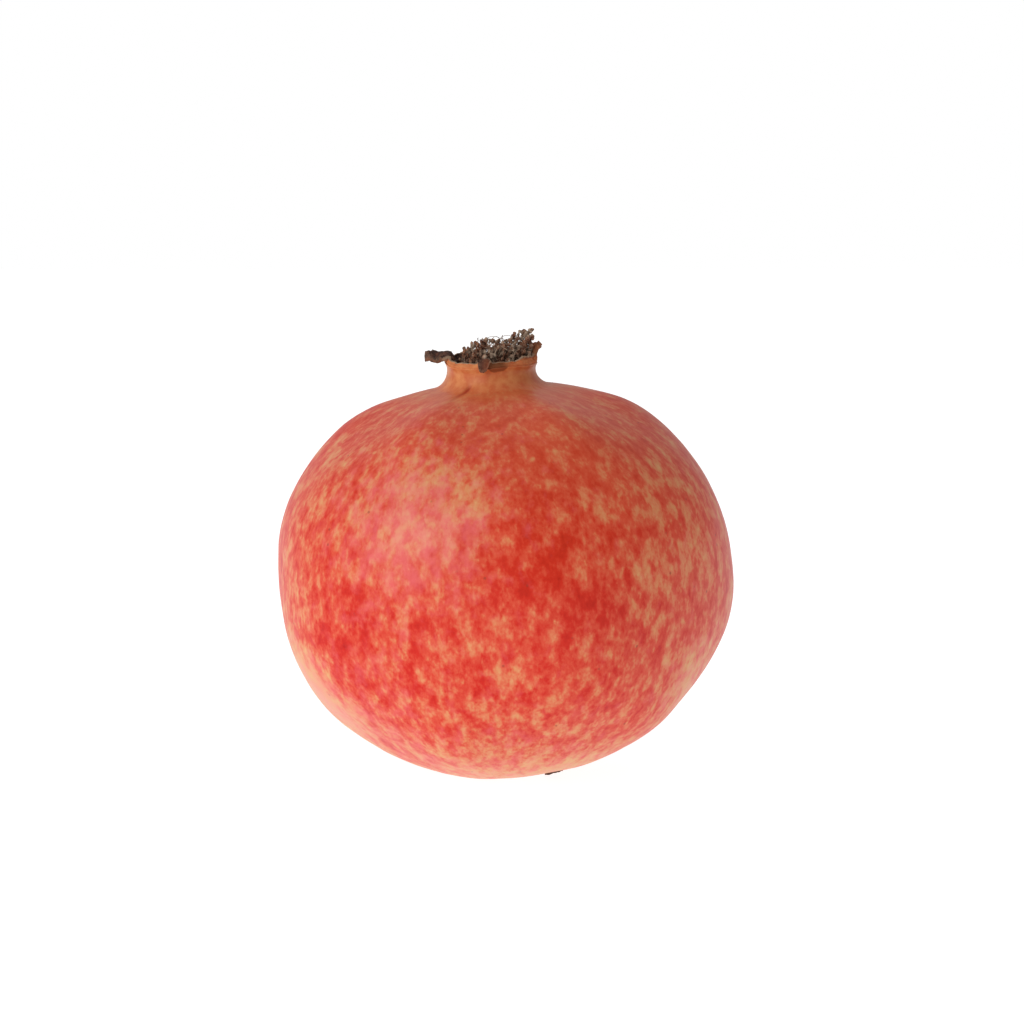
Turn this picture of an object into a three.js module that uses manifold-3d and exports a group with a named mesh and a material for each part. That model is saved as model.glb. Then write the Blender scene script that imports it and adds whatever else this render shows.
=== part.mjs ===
// A whole pomegranate, as picked. Its leathery rind narrows to a short neck, the neck ends in
// a worn crown of dried sepals, and the cup inside the crown is full of dried stamens.
// Millimetres, +Z up, the front at -Y. The fruit rests on the spot that its weight has flattened.

import * as THREE from 'three';
import { ParametricGeometry } from 'three/addons/geometries/ParametricGeometry.js';
import { mergeVertices } from 'three/addons/utils/BufferGeometryUtils.js';
import Module from 'manifold-3d';

const wasm = await Module();
wasm.setup();

// Driving dimensions
// The fruit's own frame has its origin in the middle of the belly and +Z towards the crown.
const BELLY_RADIUS = 47.1;
const SHOULDER_HEIGHT = 40.4; // the belly's middle to the shoulder
const BASE_DEPTH = 41.6; // the belly's middle to the stalk end
const SHOULDER_FULLNESS = 2.26; // 2 is an ellipse, and more is squarer
const BASE_FULLNESS = 2.05;

const NECK_RADIUS = 9.1;
const FOOT_RADIUS = 3.8; // the hollow curve from the shoulder up into the neck
const NECK_TOP = 44.8; // mean height of the rind's rim
const RIM_SLOPE = 0.55; // how much lower the rim is on the right
const RIM_DIP = 0.6; // depth of the rim's one dip
const DIP_AZIMUTH = 232; // degrees
const NECK_FLARE = 0.45; // how much wider the neck is at its rim
const NECK_CREASE = 0.12; // depth of the creases that run down from between the sepals
const CUP_RADIUS = 7.7;
const CUP_FLOOR = 38.5;
const CUP_CORNER = 2;

const STALK_RADIUS = 2.2;
const STALK_PROUD = 0.6; // how far the broken stalk stands out of the rind
const STALK_ROOT = 1.6; // how deep it is set in the rind
const STALK_TAPER = 0.86; // its outer end's radius, as a share of its root's
const STALK_PLACE = new THREE.Vector2(8.6, -11); // where the stalk is on the underside
const DIMPLE_DEPTH = 0.4; // the rind dips round the stalk
const DIMPLE_RADIUS = 6;
const GAP = 0.3; // between touching pieces

const CROWN_RADIUS = 8.7; // middle of the crown's wall
const CROWN_WALL = 1.5; // thickness at the rim
const LIP = 0.6; // height of the wall that joins the sepals
const CRINKLE = 0.28; // depth of the folds of the dried edge

const LEAN_LEFT = 3; // degrees that the crown leans to -X
const LEAN_FORWARD = 2; // degrees that the crown leans to -Y
const FLAT_DEPTH = 0.75; // height of the cap that the fruit's weight has flattened

// The chambers of seeds press the rind out in soft facets, tier by tier.
const CHAMBER_TIERS = [
  { lobes: 6, first: 0, latitude: 51, spread: 14, height: 0.7 },
  { lobes: 5, first: 0, latitude: -7, spread: 18.5, height: 0.95 },
  { lobes: 5, first: 36, latitude: -38, spread: 12, height: 0.8 },
];

// The sepals, counted from the right round the back. Most are broken short, one lies out flat
// and one is folded down over the neck. Azimuth, halfWidth and bend are in degrees, bendLength
// is how much of the sepal the bend takes, and edge is its thickness at its end.
const SEPALS = [
  { azimuth: 10, halfWidth: 24, length: 3.6, bend: 48, bendLength: 3.2, edge: 1.2 },
  { azimuth: 58, halfWidth: 27, length: 1.3, bend: 14, bendLength: 3.0, edge: 0.8 },
  { azimuth: 125, halfWidth: 32, length: 0.35, bend: 20, bendLength: 2.0, edge: 0.8 },
  { azimuth: 180, halfWidth: 22, length: 4.6, bend: 102, bendLength: 1.5, edge: 1.5 },
  { azimuth: 225, halfWidth: 25, length: 0.05, bend: 30, bendLength: 1.6, edge: 0.8 },
  { azimuth: 262, halfWidth: 11, length: 4.1, bend: 172, bendLength: 2.5, edge: 0.8 },
  { azimuth: 328, halfWidth: 24, length: 1.1, bend: 28, bendLength: 2.2, edge: 0.8 },
];

const STAMENS = 66;
const PAD_TOP = 41.7; // the matted roots of the stamens fill the cup up to here
const FILAMENT_RADIUS = 0.36;
const ANTHER_LENGTH = 1.7;
const ANTHER_RADIUS = 0.62;
const TUFT_RADIUS = 6.5; // spread of the filaments' roots
const TUFT_SPREAD = 7.2; // how far out the anthers reach
const TUFT_RISE = 2.1; // mean height of the anthers above the rind's rim
const TANGLE = 2.4; // how far a stamen strays
const STAMEN_SEED = 20611;

// Where the tuft stands higher: the place and reach of each clump, how much it rises and how
// far it leans to the right.
const CLUMPS = [
  { x: -0.8, y: 0, reach: 2.4, rise: 1.2, lean: 0 },
  { x: 5.0, y: -0.4, reach: 2.3, rise: 3.4, lean: 1.7 },
];

const radians = THREE.MathUtils.degToRad;
const { lerp, smoothstep } = THREE.MathUtils;

// Solids
// A closed geometry as a solid that can be joined and cut.
function toSolid(geometry) {
  const bare = geometry.index ? geometry.toNonIndexed() : geometry.clone();
  for (const name of ['normal', 'uv']) bare.deleteAttribute(name);
  const merged = mergeVertices(bare, 1e-4);
  return new wasm.Manifold(new wasm.Mesh({
    numProp: 3,
    vertProperties: merged.attributes.position.array,
    triVerts: new Uint32Array(merged.index.array),
  }));
}

// A solid as a geometry with its normals.
function toGeometry(solid) {
  const { vertProperties, triVerts } = solid.getMesh();
  const geometry = new THREE.BufferGeometry();
  geometry.setAttribute('position', new THREE.BufferAttribute(vertProperties, 3));
  geometry.setIndex(new THREE.BufferAttribute(triVerts, 1));
  geometry.computeVertexNormals();
  return geometry;
}

// A solid whose skin is point(azimuth, row), with the rows going up the outside.
function solidOfRows(point, around, rows) {
  return toSolid(new ParametricGeometry(
    (u, v, target) => target.copy(point(u * 2 * Math.PI, Math.round(v * rows))),
    around,
    rows,
  ));
}

// A point at a radius, azimuth and height.
function polar(radius, azimuth, height) {
  return new THREE.Vector3(radius * Math.cos(azimuth), radius * Math.sin(azimuth), height);
}

// A seeded draw of numbers from 0 to 1.
function seededDraw(seed) {
  let state = seed;
  return () => {
    state = (state * 16807) % 2147483647;
    return state / 2147483647;
  };
}

// Rind
const AROUND = 60;
const BODY_ROWS = 26;
const ARC_STEPS = 2;
const FOOT_PASSES = 8;
const STALK_SIDES = 11;

// The plain body is a superellipse turned round the axis.
function bodyRadius(height) {
  const reach = height > 0 ? SHOULDER_HEIGHT : BASE_DEPTH;
  const fullness = height > 0 ? SHOULDER_FULLNESS : BASE_FULLNESS;
  const left = Math.max(0, 1 - Math.abs(height / reach) ** fullness);
  return BELLY_RADIUS * left ** (1 / fullness);
}

// Where the foot's hollow curve touches the shoulder, and the shoulder's normal there, as
// radius and height.
function findFoot() {
  const point = new THREE.Vector2(NECK_RADIUS + FOOT_RADIUS, SHOULDER_HEIGHT);
  const normal = new THREE.Vector2();
  for (let pass = 0; pass < FOOT_PASSES; pass++) {
    const share = point.x / BELLY_RADIUS;
    point.y = SHOULDER_HEIGHT * (1 - share ** SHOULDER_FULLNESS) ** (1 / SHOULDER_FULLNESS);
    normal.set(
      share ** (SHOULDER_FULLNESS - 1) / BELLY_RADIUS,
      (point.y / SHOULDER_HEIGHT) ** (SHOULDER_FULLNESS - 1) / SHOULDER_HEIGHT,
    ).normalize();
    point.x = NECK_RADIUS + FOOT_RADIUS * (1 - normal.x);
  }
  return { point, normal };
}
const foot = findFoot();

// The rim is a little askew, so what is near it is lower on the right, and it dips once.
const dipWay = polar(1, radians(DIP_AZIMUTH), 0);
function askew(point) {
  const share = smoothstep(point.z, foot.point.y, NECK_TOP);
  const dip = Math.max(0, point.dot(dipWay) / NECK_RADIUS) ** 4;
  point.z -= share * (RIM_SLOPE * point.x / NECK_RADIUS + RIM_DIP * dip);
  return point;
}

// Radius and height along the rind: up the body and neck, over the rim and down into the cup.
function rindOutline() {
  const lastAngle = Math.asin(foot.point.y / SHOULDER_HEIGHT);
  const outline = new THREE.Path().moveTo(0, -BASE_DEPTH);
  for (let row = 1; row <= BODY_ROWS; row++) {
    const angle = lerp(-Math.PI / 2, lastAngle, row / BODY_ROWS);
    const height = Math.sin(angle) * (angle > 0 ? SHOULDER_HEIGHT : BASE_DEPTH);
    outline.lineTo(bodyRadius(height), height);
  }
  const rim = NECK_RADIUS + NECK_FLARE;
  const footTop = foot.point.y + FOOT_RADIUS * foot.normal.y;
  const footAngle = Math.atan2(-foot.normal.y, -foot.normal.x);
  outline.absarc(NECK_RADIUS + FOOT_RADIUS, footTop, FOOT_RADIUS, footAngle, -Math.PI, true);
  outline.quadraticCurveTo(NECK_RADIUS, lerp(footTop, NECK_TOP, 0.6), rim, NECK_TOP);
  outline.lineTo(CUP_RADIUS, NECK_TOP);
  outline.lineTo(CUP_RADIUS, CUP_FLOOR + CUP_CORNER);
  outline.quadraticCurveTo(CUP_RADIUS, CUP_FLOOR, CUP_RADIUS - CUP_CORNER, CUP_FLOOR);
  outline.lineTo(0, CUP_FLOOR);
  return outline.getPoints(ARC_STEPS);
}

// The way from the middle of the fruit out through the stalk.
const stalkShare = (STALK_PLACE.length() / BELLY_RADIUS) ** BASE_FULLNESS;
const stalkAxis = new THREE.Vector3(
  STALK_PLACE.x,
  STALK_PLACE.y,
  -BASE_DEPTH * (1 - stalkShare) ** (1 / BASE_FULLNESS),
);
const stalkDistance = stalkAxis.length() - DIMPLE_DEPTH;
stalkAxis.normalize();

// How far the chambers press the rind out, by latitude in degrees and azimuth.
function chamberSwell(latitude, azimuth) {
  return CHAMBER_TIERS.reduce((swell, tier) => {
    const off = (latitude - tier.latitude) / tier.spread;
    const wave = Math.cos(tier.lobes * (azimuth - radians(tier.first)));
    return swell + tier.height * wave * Math.exp(-off * off);
  }, 0);
}

// A shallow crease between each two sepals, from the rim down to the foot.
function neckCrease(azimuth, height) {
  const share = smoothstep(height, foot.point.y, NECK_TOP);
  return NECK_CREASE * share * Math.cos(SEPALS.length * (azimuth - radians(SEPALS[0].azimuth)));
}

function rindPoint(outline, azimuth, row) {
  const { x: radius, y: height } = outline[row];
  const distance = Math.hypot(radius, height);
  const latitude = THREE.MathUtils.radToDeg(Math.atan2(height, radius));
  if (radius <= CUP_RADIUS && height > 0) return askew(polar(radius, azimuth, height));
  const point = polar(radius + neckCrease(azimuth, height), azimuth, height);
  const fromStalk = point.angleTo(stalkAxis) * distance;
  const dimple = DIMPLE_DEPTH * Math.exp(-((fromStalk / DIMPLE_RADIUS) ** 2));
  point.multiplyScalar(1 + (chamberSwell(latitude, azimuth) - dimple) / distance);
  return askew(point);
}

// The stalk as a short broken peg, widened by a clearance to make its socket.
function stalkPeg(clearance) {
  const length = STALK_ROOT + STALK_PROUD + 2 * clearance;
  const peg = new THREE.CylinderGeometry(
    STALK_RADIUS * STALK_TAPER + clearance, STALK_RADIUS + clearance, length, STALK_SIDES,
  );
  const middle = stalkDistance + (STALK_PROUD - STALK_ROOT) / 2;
  peg.applyQuaternion(new THREE.Quaternion().setFromUnitVectors(
    new THREE.Vector3(0, 1, 0), stalkAxis,
  ));
  peg.translate(...stalkAxis.clone().multiplyScalar(middle).toArray());
  return toSolid(peg);
}

// World up, seen from the leaning fruit.
const leaning = new THREE.Group();
leaning.rotation.set(radians(LEAN_FORWARD), -radians(LEAN_LEFT), 0);
const upwards = new THREE.Vector3(0, 0, 1).applyQuaternion(leaning.quaternion.clone().invert());

function makeRind() {
  const outline = rindOutline();
  const skin = solidOfRows((a, row) => rindPoint(outline, a, row), AROUND, outline.length - 1);
  const { vertProperties } = skin.getMesh();
  let lowest = Infinity;
  for (let i = 0; i < vertProperties.length; i += 3) {
    lowest = Math.min(lowest, upwards.dot(new THREE.Vector3(...vertProperties.slice(i, i + 3))));
  }
  const flattened = skin.trimByPlane(upwards.toArray(), lowest + FLAT_DEPTH);
  return flattened.subtract(stalkPeg(GAP));
}

// Crown
const CROWN_AROUND = 90;
const CROWN_ROWS = 6; // from the rim to the broken edge
const BEND_SLICES = 16;

// How much of a sepal there is at an azimuth: 1 along its middle, 0 outside it.
function sepalShare(sepal, azimuth) {
  const turn = THREE.MathUtils.euclideanModulo(
    THREE.MathUtils.radToDeg(azimuth) - sepal.azimuth + 180, 360,
  ) - 180;
  return Math.max(0, 1 - Math.abs(turn / sepal.halfWidth) ** 1.5) ** 0.85;
}

// The crown's wall at an azimuth: its length and how it bends outwards.
function wallAt(azimuth) {
  const shares = SEPALS.map((sepal) => sepalShare(sepal, azimuth));
  const total = shares.reduce((sum, share) => sum + share, 0) + 0.05;
  const mean = (key) => SEPALS.reduce((sum, s, k) => sum + shares[k] * s[key], 0) / total;
  const ragged = 1 + 0.1 * Math.sin(23 * azimuth + 1) + 0.07 * Math.sin(37 * azimuth);
  const sepal = SEPALS.reduce((sum, s, k) => sum + shares[k] * s.length, 0);
  return {
    length: (LIP + sepal) * ragged,
    bend: radians(mean('bend')),
    bendLength: Math.max(1.4, mean('bendLength')),
    edge: Math.max(0.8, mean('edge')),
  };
}

// Rows go up the outer face from the rim to the edge, and back down the inner face.
function crownPoint(azimuth, row) {
  const wall = wallAt(azimuth);
  const onOuter = row <= CROWN_ROWS || row === 2 * CROWN_ROWS + 2;
  const steps = onOuter ? row % (2 * CROWN_ROWS + 2) : 2 * CROWN_ROWS + 1 - row;
  const along = steps / CROWN_ROWS;
  const middle = new THREE.Vector2(CROWN_RADIUS, NECK_TOP + GAP);
  const heading = (way) => Math.PI / 2
    - wall.bend * smoothstep(way, LIP * 0.4, LIP * 0.4 + wall.bendLength);
  for (let slice = 0; slice < BEND_SLICES; slice++) {
    const step = wall.length * along / BEND_SLICES;
    const way = step * (slice + 0.5);
    middle.x += step * Math.cos(heading(way));
    middle.y += step * Math.sin(heading(way));
  }
  const facing = heading(wall.length * along);
  const half = lerp(CROWN_WALL, wall.edge, Math.min(1, along * 1.5)) / 2 * (onOuter ? 1 : -1);
  const crinkle = CRINKLE * along * Math.sin(17 * azimuth + 5 * along);
  const radius = middle.x + (half + crinkle) * Math.sin(facing);
  return askew(polar(radius, azimuth, middle.y - (half + crinkle) * Math.cos(facing)));
}

function makeCrown() {
  return solidOfRows(crownPoint, CROWN_AROUND, 2 * CROWN_ROWS + 2);
}

// Stamens
const FILAMENT_STEPS = 3;
const PAD_AROUND = 24;

// The pad of old filament roots that lines the floor of the cup.
function stamenPad() {
  const side = CUP_RADIUS - GAP;
  const outline = new THREE.Path()
    .moveTo(0, CUP_FLOOR + GAP)
    .lineTo(side - CUP_CORNER, CUP_FLOOR + GAP)
    .lineTo(side, CUP_FLOOR + CUP_CORNER)
    .lineTo(side, PAD_TOP)
    .quadraticCurveTo(side / 2, PAD_TOP, 0, PAD_TOP - 1)
    .getPoints(ARC_STEPS);
  const skin = (azimuth, row) => polar(outline[row].x, azimuth, outline[row].y);
  return solidOfRows(skin, PAD_AROUND, outline.length - 1);
}

// Where a stamen stands and ends. It strays from upright, and more so in a leaning clump.
function stamenCurve(k, draw) {
  const turn = k * Math.PI * (3 - Math.sqrt(5));
  const out = TUFT_RADIUS * Math.sqrt((k + 0.5) / STAMENS);
  const root = polar(out, turn, PAD_TOP - 1.6);
  const stray = () => TANGLE * (draw() - 0.5);
  let rise = TUFT_RISE - (out / TUFT_RADIUS) ** 3 + stray();
  let lean = 0;
  for (const clump of CLUMPS) {
    const off = Math.hypot(root.x - clump.x, root.y - clump.y) / clump.reach;
    rise += clump.rise * Math.exp(-off * off);
    lean += clump.lean * Math.exp(-off * off);
  }
  const tip = polar(out, turn, NECK_TOP + rise);
  tip.x += 0.6 + stray();
  tip.y += stray();
  const bow = root.clone().lerp(tip, 0.55);
  bow.x += stray();
  bow.y += stray();
  for (const [point, reach] of [[bow, TUFT_RADIUS], [tip, TUFT_SPREAD]]) {
    const pull = Math.min(1, reach / Math.hypot(point.x, point.y));
    askew(point.multiply(new THREE.Vector3(pull, pull, 1)));
  }
  tip.x += lean;
  return new THREE.QuadraticBezierCurve3(root, bow, tip);
}

function stamenSolids(k, draw) {
  const curve = stamenCurve(k, draw);
  const section = new THREE.Shape(
    [0, 1, 2].map((side) => new THREE.Vector2(FILAMENT_RADIUS, 0).rotateAround(
      new THREE.Vector2(), side * 2 * Math.PI / 3,
    )),
  );
  const filament = new THREE.ExtrudeGeometry(section, {
    steps: FILAMENT_STEPS, bevelEnabled: false, extrudePath: curve,
  });
  const anther = new THREE.OctahedronGeometry(1);
  anther.scale(ANTHER_RADIUS, ANTHER_RADIUS * 1.25, ANTHER_LENGTH / 2);
  anther.rotateX(2.4 * (draw() - 0.5));
  anther.rotateZ(Math.PI * draw());
  anther.translate(...curve.v2.toArray());
  return [toSolid(filament), toSolid(anther)];
}

function makeStamens() {
  const draw = seededDraw(STAMEN_SEED);
  const solids = [stamenPad()];
  for (let k = 0; k < STAMENS; k++) solids.push(...stamenSolids(k, draw));
  const tuft = wasm.Manifold.union(solids).decompose();
  return tuft.sort((a, b) => b.volume() - a.volume())[0];
}

// Fruit
function addPiece(name, solid, look) {
  const piece = new THREE.Mesh(toGeometry(solid), new THREE.MeshStandardMaterial(look));
  piece.name = name;
  leaning.add(piece);
}

addPiece('rind', makeRind(), { color: '#c8503c', roughness: 0.42, metalness: 0 });
addPiece('calyx_crown', makeCrown(), { color: '#6b4a33', roughness: 0.85, metalness: 0 });
addPiece('stamens', makeStamens(), { color: '#7d6a55', roughness: 0.95, metalness: 0 });
addPiece('stalk_stub', stalkPeg(0), { color: '#4a342a', roughness: 0.9, metalness: 0 });

// The origin is under the middle of the fruit, on the surface that it rests on.
const pomegranate = new THREE.Group();
pomegranate.add(leaning);
pomegranate.updateMatrixWorld(true);
const bounds = new THREE.Box3().setFromObject(pomegranate, true);
const middle = bounds.getCenter(new THREE.Vector3());
leaning.position.set(-middle.x, -middle.y, -bounds.min.z);

export default pomegranate;
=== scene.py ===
import math

import bmesh
import bpy
from mathutils import Matrix, Vector, noise


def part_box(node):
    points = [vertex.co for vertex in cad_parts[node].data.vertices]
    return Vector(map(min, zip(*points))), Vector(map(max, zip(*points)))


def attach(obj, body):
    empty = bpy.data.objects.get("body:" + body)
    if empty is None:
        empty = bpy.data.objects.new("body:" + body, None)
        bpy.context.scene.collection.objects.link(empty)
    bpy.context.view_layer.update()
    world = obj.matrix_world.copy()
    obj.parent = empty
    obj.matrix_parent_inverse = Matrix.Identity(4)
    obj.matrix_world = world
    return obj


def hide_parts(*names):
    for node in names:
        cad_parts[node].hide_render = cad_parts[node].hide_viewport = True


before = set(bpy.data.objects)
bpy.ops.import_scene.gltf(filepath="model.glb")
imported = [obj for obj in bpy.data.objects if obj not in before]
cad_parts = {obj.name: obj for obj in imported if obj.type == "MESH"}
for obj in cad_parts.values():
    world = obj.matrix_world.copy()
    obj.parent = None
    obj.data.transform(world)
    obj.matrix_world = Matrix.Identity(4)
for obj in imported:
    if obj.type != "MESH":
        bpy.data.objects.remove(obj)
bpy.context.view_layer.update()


# Rind
# The leathery skin of the whole fruit, grown in one piece from the stalk end up to the rim of
# a short neck. Chambers of seeds press it out in soft facets, and the fruit's weight has
# flattened a spot underneath. Lengths are millimetres in the fruit's own upright frame.

MM = 0.001
BELLY_RADIUS = 47.1
SHOULDER_HEIGHT = 40.4
BASE_DEPTH = 41.6
SHOULDER_FULLNESS = 2.26
BASE_FULLNESS = 2.05
NECK_RADIUS = 9.1
FOOT_RADIUS = 3.8
NECK_TOP = 44.8
RIM_SLOPE = 0.55
RIM_DIP = 0.6
DIP_WAY = Vector((math.cos(math.radians(232)), math.sin(math.radians(232)), 0))
NECK_FLARE = 0.45
NECK_CREASE = 0.10
CUP_RADIUS = 7.7
CUP_FLOOR = 38.5
CUP_CORNER = 2.0
RIM_ROUND = 0.15
FLAT_DEPTH = 0.75
FLAT_SOFTNESS = 0.12
STALK_PLACE = Vector((8.6, -11.0))
DIMPLE_DEPTH = 0.4
DIMPLE_RADIUS = 6.0
SEPALS_ROUND = 7
FIRST_SEPAL = math.radians(10)

# Lobes, azimuth of the first lobe, latitude, spread in latitude, and height
CHAMBER_TIERS = [(6, 0, 51, 14, 0.7), (5, 0, -7, 18.5, 0.95), (5, 36, -38, 12, 0.8)]
RIDGE_SHARPNESS = 0.16
# Size of the lumps of each unevenness in the rind, and its height
UNEVENNESS = [(17, 0.35), (6, 0.10), (2.2, 0.03)]

# A pinch at the foot of the neck, in front on the left: azimuth, height, half its width, half
# its height and depth
PINCH_AZIMUTH = math.radians(242)
PINCH_HEIGHT = 40.1
PINCH_WIDTH = 0.6
PINCH_REACH = 0.9
PINCH_DEPTH = 0.75

SPIN_STEPS = 240
BODY_ROWS = 120
ARC_ROWS = 10

LEAN = Matrix.Rotation(math.radians(2), 4, "X") @ Matrix.Rotation(math.radians(-3), 4, "Y")


def clamp01(value):
    return min(1.0, max(0.0, value))


def ease(value, low, high):
    share = clamp01((value - low) / (high - low))
    return share * share * (3 - 2 * share)


def mix(a, b, share):
    return a + (b - a) * share


def body_radius(height):
    reach, fullness = SHOULDER_HEIGHT, SHOULDER_FULLNESS
    if height <= 0:
        reach, fullness = BASE_DEPTH, BASE_FULLNESS
    return BELLY_RADIUS * max(0.0, 1 - abs(height / reach) ** fullness) ** (1 / fullness)


def find_foot():
    """Where the foot's hollow curve touches the shoulder, and the shoulder's normal there."""
    radius = NECK_RADIUS + FOOT_RADIUS
    for _ in range(8):
        share = radius / BELLY_RADIUS
        height = SHOULDER_HEIGHT * (1 - share ** SHOULDER_FULLNESS) ** (1 / SHOULDER_FULLNESS)
        normal = Vector((
            share ** (SHOULDER_FULLNESS - 1) / BELLY_RADIUS,
            (height / SHOULDER_HEIGHT) ** (SHOULDER_FULLNESS - 1) / SHOULDER_HEIGHT,
        )).normalized()
        radius = NECK_RADIUS + FOOT_RADIUS * (1 - normal.x)
    return height, normal


foot, foot_normal = find_foot()


def askew(point):
    """The rim is a little askew, so what is near it is lower on the right, and it dips once."""
    dip = max(0.0, point.dot(DIP_WAY) / NECK_RADIUS) ** 4
    drop = RIM_SLOPE * point.x / NECK_RADIUS + RIM_DIP * dip
    return point - Vector((0, 0, drop * ease(point.z, foot, NECK_TOP)))


def arc_points(centre, radius, first, last, rows):
    """Points of an arc after its first one, with angles in degrees."""
    for row in range(1, rows + 1):
        angle = math.radians(mix(first, last, row / rows))
        yield centre[0] + radius * math.cos(angle), centre[1] + radius * math.sin(angle)


def rind_outline():
    """Radius and height: up the body and neck, over the rim and down into the cup."""
    last = math.asin(foot / SHOULDER_HEIGHT)
    yield 0.0, -BASE_DEPTH
    for row in range(1, BODY_ROWS + 1):
        angle = mix(-math.pi / 2, last, row / BODY_ROWS)
        height = math.sin(angle) * (SHOULDER_HEIGHT if angle > 0 else BASE_DEPTH)
        yield body_radius(height), height
    neck_foot = foot + FOOT_RADIUS * foot_normal.y
    first = 180 + math.degrees(math.atan2(foot_normal.y, foot_normal.x))
    yield from arc_points((NECK_RADIUS + FOOT_RADIUS, neck_foot), FOOT_RADIUS, first, 180, 2 * ARC_ROWS)
    for row in range(1, ARC_ROWS):
        share = row / ARC_ROWS
        yield NECK_RADIUS + NECK_FLARE * share ** 2, mix(neck_foot, NECK_TOP - RIM_ROUND, share)
    rim = NECK_RADIUS + NECK_FLARE - RIM_ROUND
    yield from arc_points((rim, NECK_TOP - RIM_ROUND), RIM_ROUND, 0, 90, 4)
    yield from arc_points((CUP_RADIUS + RIM_ROUND, NECK_TOP - RIM_ROUND), RIM_ROUND, 90, 180, 4)
    yield CUP_RADIUS, CUP_FLOOR + CUP_CORNER
    yield from arc_points((CUP_RADIUS - CUP_CORNER, CUP_FLOOR + CUP_CORNER), CUP_CORNER, 0, -90, 6)
    yield 0.0, CUP_FLOOR


def chamber_swell(latitude, azimuth):
    """How far the chambers press the rind out. The facets' ridges are a little sharper than a wave."""
    swell = 0.0
    for lobes, first, middle, spread, height in CHAMBER_TIERS:
        turn = lobes * (azimuth - math.radians(first))
        sharp = math.cos(turn) + RIDGE_SHARPNESS * math.cos(2 * turn)
        swell += height * sharp * math.exp(-(((latitude - middle) / spread) ** 2))
    return swell


stalk_drop = (1 - (STALK_PLACE.length / BELLY_RADIUS) ** BASE_FULLNESS) ** (1 / BASE_FULLNESS)
stalk_root = Vector((STALK_PLACE.x, STALK_PLACE.y, -BASE_DEPTH * stalk_drop))


def pinch_share(azimuth, height, radius):
    """1 in the middle of the pinch, falling softly to 0. The pinch leans a little to the right."""
    up = (height - PINCH_HEIGHT) / PINCH_REACH
    turn = math.remainder(azimuth - PINCH_AZIMUTH, 2 * math.pi) * radius / PINCH_WIDTH - 0.5 * up
    return math.exp(-turn * turn - up * up)


def rind_point(flat):
    """A vertex of the plain spun skin, pressed to its real place."""
    radius = math.hypot(flat.x, flat.y)
    if radius < CUP_RADIUS + RIM_ROUND and flat.z > 0:
        return askew(flat)
    azimuth = math.atan2(flat.y, flat.x)
    distance = flat.length
    latitude = math.degrees(math.atan2(flat.z, radius))
    out = chamber_swell(latitude, azimuth)
    out -= DIMPLE_DEPTH * math.exp(-(((flat - stalk_root).length / DIMPLE_RADIUS) ** 2))
    out += sum(rise * noise.noise(flat / size) for size, rise in UNEVENNESS)
    on_neck = ease(flat.z, SHOULDER_HEIGHT - 1, NECK_TOP)
    point = flat * (1 + out * (1 - 0.6 * on_neck) / distance)
    creases = math.cos(SEPALS_ROUND * (azimuth - FIRST_SEPAL))
    sideways = NECK_CREASE * on_neck * creases - PINCH_DEPTH * pinch_share(azimuth, flat.z, radius)
    return askew(point + Vector((flat.x, flat.y, 0)) * (sideways / radius if radius else 0))


def spun_mesh(outline, steps):
    """The outline spun round the upright axis, with the length along it kept on each vertex."""
    mesh = bmesh.new()
    along = mesh.verts.layers.float.new("along")
    chain = []
    for radius, height in outline:
        vertex = mesh.verts.new((radius, 0, height))
        if chain:
            vertex[along] = chain[-1][along] + (vertex.co - chain[-1].co).length
            mesh.edges.new((chain[-1], vertex))
        chain.append(vertex)
    bmesh.ops.spin(
        mesh, geom=mesh.verts[:] + mesh.edges[:], cent=(0, 0, 0), axis=(0, 0, 1),
        angle=2 * math.pi, steps=steps, use_merge=True,
    )
    bmesh.ops.remove_doubles(mesh, verts=mesh.verts[:], dist=0.001)
    bmesh.ops.recalc_face_normals(mesh, faces=mesh.faces[:])
    return mesh


def finish_piece(mesh, name, material, node):
    """Makes the object of a mesh whose vertices are in their final place, in millimetres."""
    bmesh.ops.scale(mesh, vec=(MM, MM, MM), verts=mesh.verts[:])
    data = bpy.data.meshes.new(name)
    mesh.to_mesh(data)
    mesh.free()
    data.polygons.foreach_set("use_smooth", [True] * len(data.polygons))
    data.materials.append(material)
    piece = bpy.data.objects.new(name, data)
    bpy.context.scene.collection.objects.link(piece)
    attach(piece, "root")
    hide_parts(node)


rind_mesh = spun_mesh(rind_outline(), SPIN_STEPS)
along = rind_mesh.verts.layers.float["along"]
grain = rind_mesh.verts.layers.float_vector.new("grain")
for vertex in rind_mesh.verts:
    turn = math.atan2(vertex.co.y, vertex.co.x)
    width = mix(BELLY_RADIUS, math.hypot(vertex.co.x, vertex.co.y), 0.55)
    vertex[grain] = (width * math.cos(turn), width * math.sin(turn), vertex[along])
    vertex.co = LEAN @ rind_point(vertex.co)

rind_low, rind_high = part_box("rind")
middle_x = (min(v.co.x for v in rind_mesh.verts) + max(v.co.x for v in rind_mesh.verts)) / 2
middle_y = (min(v.co.y for v in rind_mesh.verts) + max(v.co.y for v in rind_mesh.verts)) / 2
seat = Vector((
    (rind_low[0] + rind_high[0]) / 2 / MM - middle_x,
    (rind_low[1] + rind_high[1]) / 2 / MM - middle_y,
    -min(v.co.z for v in rind_mesh.verts) - FLAT_DEPTH,
))
upright = Matrix.Translation(seat) @ LEAN
for vertex in rind_mesh.verts:
    vertex.co += seat
    vertex.co.z = (vertex.co.z + math.hypot(vertex.co.z, FLAT_SOFTNESS)) / 2


def linear(hex_colour):
    """An sRGB hex colour as linear RGBA."""
    def channel(pair):
        value = int(pair, 16) / 255
        return value / 12.92 if value <= 0.04045 else ((value + 0.055) / 1.055) ** 2.4
    digits = hex_colour.lstrip("#")
    return (*(channel(digits[i:i + 2]) for i in (0, 2, 4)), 1.0)


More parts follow.
